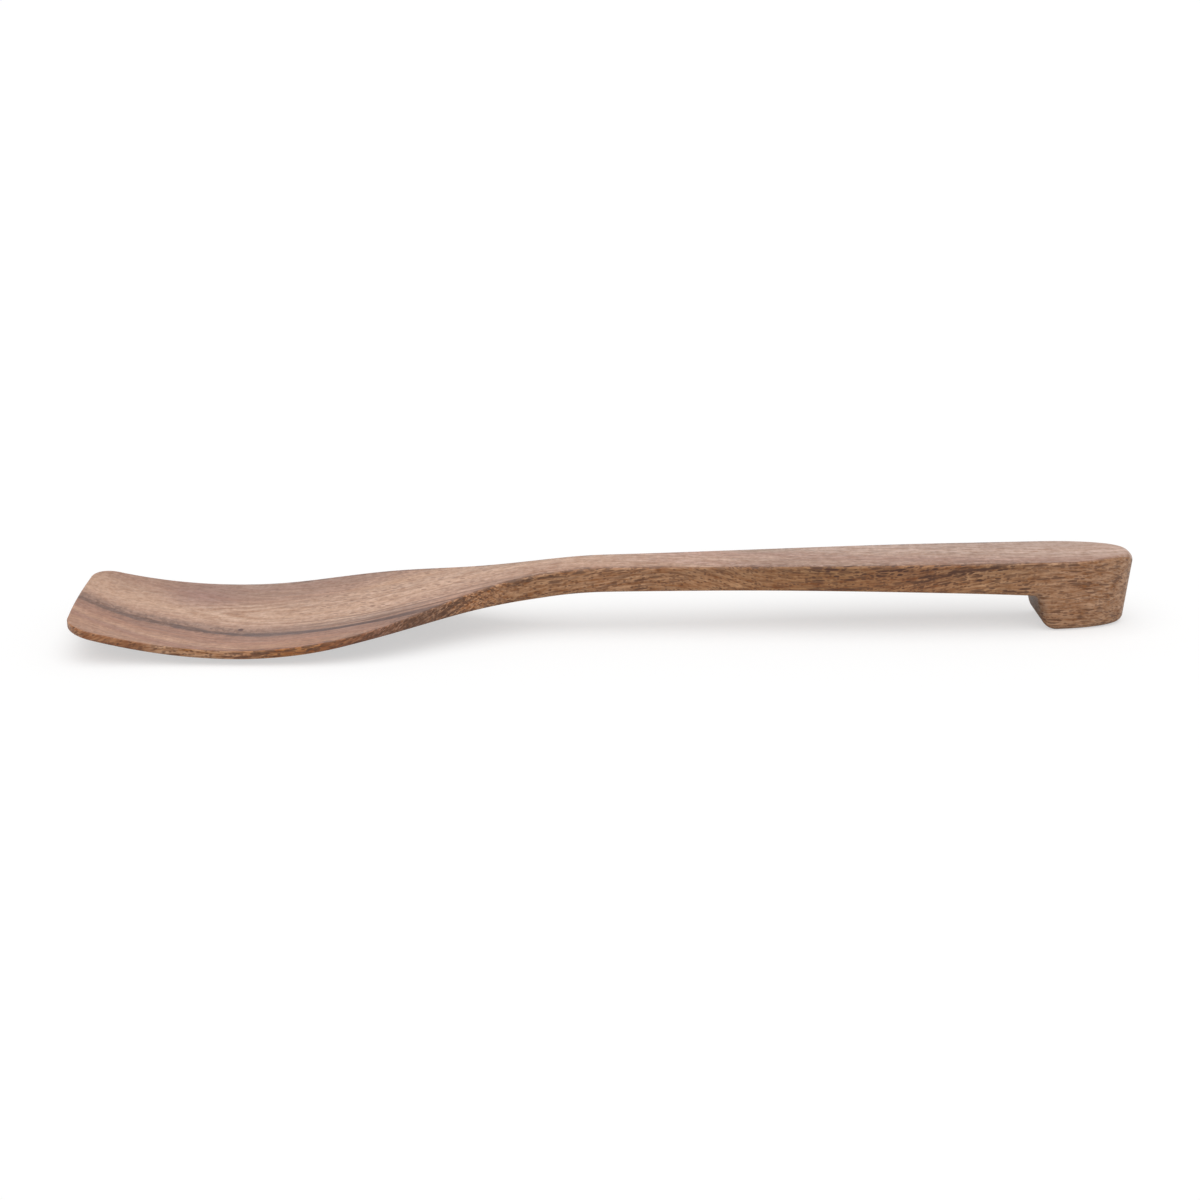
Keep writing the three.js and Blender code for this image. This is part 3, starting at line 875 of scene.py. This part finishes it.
def scoop_arches(f, at, bands):
    """Long arches: waves of the distance from their common middle, shortened along the spatula."""
    along = f.math("MINIMUM", f.minus(at.from_tip, ARCH_END[0]), 0.0)
    place = f.vector(f.times(along, 1 / ARCH_STRETCH), f.minus(at.across, ARCH_END[1]), 0.0)
    distance = f.plus(f.vector_math("LENGTH", place, output="Value"), at.sway)
    waves = f.math("SINE", f.times_plus(bands, ARCH_WAVER, f.times(distance, 2 * np.pi / ARCH_PITCH)))
    start, end = MIDDLE_OF_NOISE
    return f.times_plus(waves, (end - start) / 2, (end + start) / 2)


def grained(f, at, wood):
    """Bands, growth lines, arches, fibres and the cloudy figure make the wood lighter and darker. Each is a
    noise with a depth, and they are added up."""
    bands = f.spots(at.layers, BAND_SIZE)
    threads = f.spots(at.layers, THREAD_SIZE)
    figure = f.spots(at.fibres, FIGURE_SIZE, detail=3, roughness=0.65)
    grit = f.spots(at.fibres, GRIT_SIZE)
    hatch = f.spots(at.rising, HATCH_SIZE, detail=1)
    in_scoop = patch(f, at.in_wood, SCOOP_PLACE, SCOOP_SIZE)
    near_streak = f.ramp(at.through, *NEAR_STREAK_EDGE)
    line_depth = f.plus(f.ramp(at.from_tip, *LINE_DEPTH), f.times(near_streak, NEAR_LINE_DEPTH))
    thread_depth = f.plus(f.ramp(at.from_tip, *THREAD_DEPTH), f.times(near_streak, NEAR_THREAD_DEPTH))
    hair_depth = f.times_plus(in_scoop, -SCOOP_HAIR_LOSS, HAIR_DEPTH)
    sawn_hair_depth = f.times_plus(at.on_cut, -CUT_HAIR_LOSS, SAWN_HAIR_DEPTH)
    parts = [
        (bands, BAND_DEPTH),
        (at.lines, f.value_mix(at.sawn, line_depth, SAWN_LINE_DEPTH)),
        (threads, f.value_mix(at.sawn, thread_depth, SAWN_THREAD_DEPTH)),
        (scoop_arches(f, at, bands), f.times(in_scoop, ARCH_DEPTH)),
        (at.hairs, f.value_mix(at.sawn, hair_depth, sawn_hair_depth)),
        (figure, f.value_mix(at.sawn, f.ramp(at.from_tip, *FIGURE_DEPTH), SAWN_FIGURE_DEPTH)),
        (grit, GRIT_DEPTH),
        (hatch, f.times(at.on_cut, HATCH_DEPTH)),
    ]
    grain = 0.0
    for noise, depth in parts:
        grain = f.plus(grain, f.times(f.ramp(noise, *MIDDLE_OF_NOISE, -1.0, 1.0), depth))
    tints = (f.value_mix(at.sawn, *tint) for tint in zip(GRAIN_TINT, SAWN_TINT))
    return f.tinted(wood, f.vector(*(f.times_plus(grain, tint, 1.0) for tint in tints)))


def evened(f, at, wood):
    """The upper face gets lighter and darker along the spatula, the shaft's side darker towards its top."""
    top = number_along(f, at.share, TOP_LIGHTNESS, TOP_NUMBER)
    side = f.plus(1.0, f.times(at.on_shaft, f.ramp(at.height, *SHAFT_SIDE_LIGHTNESS)))
    lightness = f.value_mix(at.sawn, top, side)
    return f.tinted(wood, f.vector(lightness, lightness, lightness))


def dark_streak(f, at, wood):
    """A broken dark line in a mottled cloud that reaches to its far side, and stripes beside it where the
    shoulder cuts through it."""
    blotches = f.spots(at.fibres, BLOTCH_SIZE)
    unrest = f.ramp(at.from_tip, *UNREST)
    line = f.times(at.through, number_along(f, at.share, STREAK_SHARPNESS, TOP_NUMBER))
    line = f.plus(line, f.times(f.push(at.cloud, STREAK_PUSH), unrest))
    core = f.times(f.stretch(line, *CORE_BAND), number_along(f, at.share, STREAK_DEPTH, TOP_NUMBER))
    core = f.times(core, f.ramp(blotches, *STREAK_BREAKS, f.times_plus(unrest, -STREAK_GAPS, 1.0), 1.0))
    core = f.times(core, f.times_plus(at.sawn, -SAWN_STREAK_LOSS, 1.0))

    clouded = f.plus(at.through, f.push(at.cloud, SMOKE_PUSH))
    smoke = f.times(f.ramp(line, *SMOKE_NEAR_EDGE), f.ramp(clouded, *SMOKE_FAR_EDGE))
    smoke = f.times(smoke, f.ramp(at.from_tip, *SMOKE_DEPTH), f.ramp(blotches, *SMOKE_MOTTLE))
    speckle = f.ramp(f.spots(at.fibres, SPECKLE_SIZE, detail=1), *SPECKLE_NOISE)
    speckle = f.times(speckle, f.ramp(at.from_tip, *SPECKLE_DEPTH))
    near_and_far = f.times(f.ramp(at.through, *SPECKLE_NEAR_EDGE), f.ramp(clouded, *SPECKLE_FAR_EDGE))
    speckle = f.times(speckle, near_and_far)
    waves = f.times_plus(at.lines, STRIPE_WAVER, f.times(at.through, 2 * np.pi / STRIPE_PITCH))
    beside = f.times(at.on_shoulder, f.stretch(at.through, *STRIPE_BAND))
    stripes = f.times(f.ramp(f.math("SINE", waves), *STRIPE_WAVES, 0.0, STRIPE_DEPTH), beside)
    wood = f.mix(f.largest(smoke, speckle, stripes), wood, colour(SMOKE_COLOUR))
    return f.mix(core, wood, colour(STREAK_COLOUR))


def dark_shoulder(f, at, wood):
    """Dark wood round the streak where it leaves the shoulder, the short rising strokes that the steep saw
    cut left there, and the notches along the upper edge of the sides."""
    strokes = f.dashes(at.rising, STROKE_SIZE, STROKE_FULLNESS)
    shade = f.largest(*(patch(f, at.in_wood, place, size) for place, size in SHADES))
    shade = f.times(shade, f.times_plus(strokes, STROKE_DEPTH, SHADE_BETWEEN_STROKES))
    cut_strokes = f.times(strokes, at.on_cut, CUT_STROKE_DEPTH)
    notches = f.ramp(f.spots(at.fibres, NOTCH_SIZE, detail=1), *NOTCH_NOISE)
    notches = f.times(notches, f.times(at.by_side, f.ramp(at.below_edge, *BY_UPPER_EDGE)))
    notched = f.times(f.ramp(at.from_tip, *NOTCH_START), f.ramp(at.from_tip, *NOTCH_DEPTH))
    shade = f.largest(shade, cut_strokes, f.times(notches, notched))
    return f.mix(f.times(shade, SHADE_DEPTH), wood, colour(SHADE_COLOUR))


def slanting_flecks(f, at, wood):
    """Short slanting flecks on the upper face of the shoulder."""
    flecks = f.dashes(at.slanting, FLECK_SIZE, FLECK_FULLNESS)
    flecks = f.times(flecks, at.on_shoulder, f.ramp(at.through, *FLECK_EDGE))
    return f.mix(f.times(flecks, FLECK_DEPTH), wood, colour(FLECK_COLOUR))


def wood_pores(f, at):
    """Pores of three sizes, crowded in some layers, high on the side of the shaft and on the grip."""
    crowd = f.ramp(f.spots(at.layers, CROWD_SIZE, detail=1), *CROWD_NOISE)
    crowd = f.times(crowd, f.plus(1.0, f.times(at.on_shaft, f.ramp(at.height, *SHAFT_SIDE_PORES))))
    crowd = f.times(crowd, f.times(f.ramp(at.from_tip, *GRIP_PORES), f.ramp(at.from_tip, *FOOT_PORES)))
    long_pores = f.dashes(at.fibres, LONG_PORE_SIZE, LONG_PORE_FULLNESS)
    short_pores = f.dashes(at.fibres, SHORT_PORE_SIZE, PORE_FULLNESS)
    fine_pores = f.dashes(at.fibres, FINE_PORE_SIZE, PORE_FULLNESS)
    pores = f.math("MULTIPLY", f.largest(long_pores, short_pores), crowd, clamp=True)
    return f.largest(pores, f.times(fine_pores, f.ramp(at.from_tip, *FINE_PORE_DEPTH)))


def dark_pores(f, at, wood):
    """The pores are dark where the saw opened them: on the sawn sides, and a little over the edge."""
    over_edge = f.times(at.by_side, f.ramp(at.from_tip, *PORES_BY_EDGE))
    opened = f.times_plus(f.largest(at.sawn, over_edge), 1 - SANDED_PORE_DEPTH, SANDED_PORE_DEPTH)
    return f.mix(f.times(at.pores, opened), wood, colour(PORE_COLOUR))


def vein(f, at, place, start, slope, push, edge):
    """A dark vein along a line through start with the given slope, drawn in height or across as place says.
    The edge holds the distances from the line at which the vein begins and at which it is full."""
    line = f.times_plus(f.minus(at.from_tip, start[0]), slope, start[1])
    off_line = f.plus(f.minus(place, line), f.push(at.cloud, push))
    return f.ramp(f.math("ABSOLUTE", off_line), *edge)


def dark_veins(f, at, wood):
    """A vein along the side of the grip, and a finer one on its upper face beside the near edge."""
    on_side = vein(f, at, at.height, VEIN_START, VEIN_SLOPE, VEIN_PUSH, VEIN_EDGE)
    on_side = f.times(on_side, f.stretch(at.from_tip, *VEIN_STRETCH), at.sawn)
    on_top = vein(f, at, at.across, THREAD_START, THREAD_SLOPE, THREAD_PUSH, THREAD_EDGE)
    on_top = f.times(on_top, f.stretch(at.from_tip, *THREAD_STRETCH), f.minus(1.0, at.sawn))
    veins = f.plus(on_side, f.times(on_top, THREAD_VEIN_DEPTH))
    return f.mix(f.times(veins, f.ramp(at.hairs, *VEIN_MOTTLE)), wood, colour(PORE_COLOUR))


def pin_knot(f, at, wood):
    """A pin knot in the blade, an ellipse in plan."""
    along = f.math("DIVIDE", f.minus(at.from_tip, KNOT_PLACE[0]), KNOT_SIZE[0])
    across = f.math("DIVIDE", f.minus(at.across, KNOT_PLACE[1]), KNOT_SIZE[1])
    distance = f.math("SQRT", f.plus(f.math("POWER", along, 2.0), f.math("POWER", across, 2.0)))
    return f.mix(f.ramp(distance, *KNOT_EDGE), wood, colour(KNOT_COLOUR))


def oiled_wood():
    """Brown hardwood, sanded and oiled. All of it reads the place in the wood, so that bands, streak and
    pores run on over the edges as they do on a carved piece."""
    f = Finish("oiled_wood")
    at = wood_places(f)
    shared_marks(f, at)
    at.pores = wood_pores(f, at)
    wood = evened(f, at, grained(f, at, broad_colours(f, at)))
    for marks in (dark_streak, dark_shoulder, slanting_flecks, dark_pores, dark_veins, pin_knot):
        wood = marks(f, at, wood)

    f.join(wood, f.shader.inputs["Base Color"])
    f.join(f.ramp(at.lines, *OIL_ROUGHNESS), f.shader.inputs["Roughness"])
    f.shader.inputs["IOR"].default_value = OIL_IOR
    bump = f.nodes.new("ShaderNodeBump")
    bump.inputs["Distance"].default_value = 1.0
    f.join(f.plus(f.times(at.hairs, HAIR_RELIEF), f.times(at.pores, -PORE_RELIEF)), bump.inputs["Height"])
    f.join(bump.outputs[0], f.shader.inputs["Normal"])
    return f.material


def white_paper():
    """The floor's paper. It glows for the camera alone, which sees it white with a faint shadow. If
    reflections saw the glow too, the dark inner face of the foot would turn pale."""
    paper = Finish("white_paper")
    seen = paper.nodes.new("ShaderNodeLightPath").outputs["Is Camera Ray"]
    light = paper.times_plus(seen, SHADOW_SHARE - PAPER_LIGHT, PAPER_LIGHT)
    paper.join(paper.vector(light, light, light), paper.shader.inputs["Base Color"])
    paper.shader.inputs["Roughness"].default_value = 0.9
    paper.shader.inputs["Specular IOR Level"].default_value = 0.0
    paper.shader.inputs["Emission Color"].default_value = (1, 1, 1, 1)
    paper.join(paper.times(seen, 1 - SHADOW_SHARE), paper.shader.inputs["Emission Strength"])
    return paper.material


def way_to(azimuth, elevation):
    """The way to something that stands at an azimuth, counted from the front, and at an elevation."""
    level = np.cos(elevation)
    return Vector((np.sin(azimuth) * level, -np.cos(azimuth) * level, np.sin(elevation)))


# The spatula
spatula = bpy.data.objects.new("wooden_spatula", carved_mesh("wooden_spatula"))
bpy.context.scene.collection.objects.link(spatula)
spatula.data.materials.append(oiled_wood())
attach(spatula, "root")
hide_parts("spatula")

# The floor
half = FLOOR_SIZE / 2
corners = [(-half, -half, 0), (half, -half, 0), (half, half, 0), (-half, half, 0)]
floor_mesh = bpy.data.meshes.new("floor")
floor_mesh.from_pydata(corners, [], [(0, 1, 2, 3)])
floor_mesh.materials.append(white_paper())
floor = bpy.data.objects.new("floor", floor_mesh)
bpy.context.scene.collection.objects.link(floor)

# The sky: white for the camera and in reflections, and soft light on the spatula
sky = bpy.data.worlds.new("studio")
sky.use_nodes = True
bpy.context.scene.world = sky
ray = sky.node_tree.nodes.new("ShaderNodeLightPath")
seen = ray.outputs["Is Camera Ray"]
for other_way in ("Is Glossy Ray", "Is Transmission Ray"):
    either = sky.node_tree.nodes.new("ShaderNodeMath")
    either.operation = "MAXIMUM"
    sky.node_tree.links.new(seen, either.inputs[0])
    sky.node_tree.links.new(ray.outputs[other_way], either.inputs[1])
    seen = either.outputs[0]
strength = sky.node_tree.nodes.new("ShaderNodeMapRange")
strength.inputs["To Min"].default_value = SKY_LIGHT
strength.inputs["To Max"].default_value = 1.0
background = sky.node_tree.nodes["Background"]
background.inputs["Color"].default_value = (1, 1, 1, 1)
sky.node_tree.links.new(seen, strength.inputs["Value"])
sky.node_tree.links.new(strength.outputs[0], background.inputs["Strength"])

# The lamp: a wide soft light, far away, overhead and a little towards the camera
lamp_data = bpy.data.lights.new("overhead", "SUN")
lamp_data.energy = LAMP_STRENGTH
lamp_data.angle = LAMP_WIDTH
lamp = bpy.data.objects.new("overhead", lamp_data)
lamp.rotation_euler = way_to(LAMP_AZIMUTH, LAMP_ELEVATION).to_track_quat("Z", "Y").to_euler()
bpy.context.scene.collection.objects.link(lamp)

# The camera, as the photograph sees the spatula
camera_data = bpy.data.cameras.new("camera")
camera_data.lens = LENS
camera_data.sensor_width = SENSOR_WIDTH
camera_data.clip_start = 0.01
camera_data.clip_end = 20
camera = bpy.data.objects.new("camera", camera_data)
bpy.context.scene.collection.objects.link(camera)
to_camera = way_to(CAMERA_AZIMUTH, CAMERA_ELEVATION)
camera.location = Vector(AIM) + to_camera * CAMERA_DISTANCE
camera.rotation_euler = to_camera.to_track_quat("Z", "Y").to_euler()
bpy.context.scene.camera = camera
bpy.context.scene.view_settings.view_transform = "Standard"
